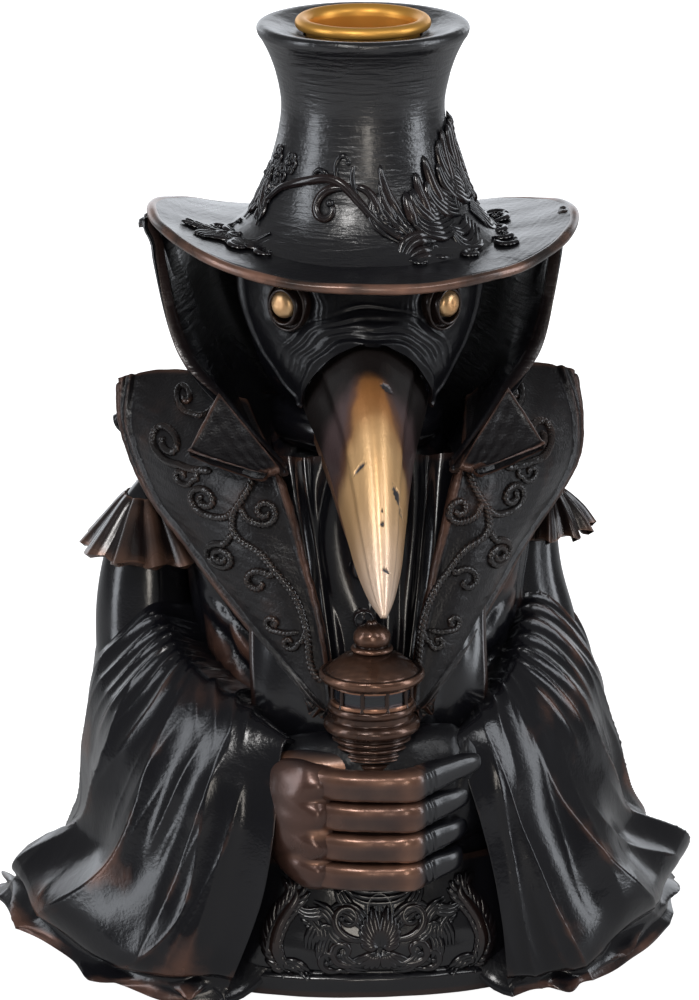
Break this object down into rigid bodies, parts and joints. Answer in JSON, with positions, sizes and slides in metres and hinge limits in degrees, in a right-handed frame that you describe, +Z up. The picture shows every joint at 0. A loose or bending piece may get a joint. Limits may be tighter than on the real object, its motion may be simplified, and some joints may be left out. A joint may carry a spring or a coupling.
{
  "type": "plague doctor candle holder",
  "caption": "Cast-resin bust of a robed plague doctor in a top hat and beaked mask, holding a lantern, with a lift-out brass cup for a dinner candle in the crown of the hat.",
  "frame": {"origin": "middle of the felt's underside, where the bust stands on the table", "axes": "+Z up, the figure faces -Y, its own right side is at -X"},
  "size_m": [0.1582, 0.1199, 0.2045],
  "materials": {
    "black_resin": "gloss black cold-cast resin, copper rubbed over raised edges",
    "bronze_resin": "resin painted dark bronze, rubbed to copper on the high spots, glossy",
    "gold_resin": "resin painted gold, shaded dark brown where the beak leaves the mask",
    "candle_brass": "spun brass, satin",
    "lantern_pane": "black gloss, standing in for dark lantern glass",
    "base_felt": "black felt",
    "base_board": "plain board closing the hollow casting"
  },
  "bodies": {
    "bust": {"base_board": "base_board", "beak_lower": "bronze_resin", "beak_upper": "gold_resin", "brim_binding": "bronze_resin", "collar_flap_left": "black_resin", "collar_flap_right": "black_resin", "eye_bezel_left": "bronze_resin", "eye_bezel_right": "bronze_resin", "eye_lens_left": "gold_resin", "eye_lens_right": "gold_resin", "felt_pad": "base_felt", "glove_left": "black_resin", "glove_right": "bronze_resin", "hat_brim": "black_resin", "hat_crown": "black_resin", "hat_leaf_front": "black_resin", "hat_leaf_left": "black_resin", "hat_leaf_right": "black_resin", "head": "black_resin", "lantern_base": "bronze_resin", "lantern_cage": "bronze_resin", "lantern_finial": "bronze_resin", "lantern_glass": "lantern_pane", "lantern_roof": "bronze_resin", "lantern_stem": "bronze_resin", "lapel_left": "black_resin", "lapel_piping_left": "black_resin", "lapel_piping_right": "black_resin", "lapel_right": "black_resin", "lapel_scroll_left": "black_resin", "lapel_scroll_right": "black_resin", "mantle_back": "black_resin", "mask": "black_resin", "neck_cloth": "black_resin", "robe_front": "black_resin", "robe_relief": "black_resin", "shoulder_frill_left": "bronze_resin", "shoulder_frill_right": "bronze_resin", "sleeve_left": "black_resin", "sleeve_right": "black_resin", "stand_collar": "black_resin", "torso_casting": "black_resin", "waistcoat": "black_resin", "waistcoat_button_1": "black_resin", "waistcoat_button_2": "black_resin"},
    "cup": {"candle_cup": "candle_brass"}
  },
  "joints": [
    {"name": "cup_lift", "type": "slide", "parent": "bust", "child": "cup", "axis": [0, 0, 1], "range_m": [0, 0.03]}
  ]
}
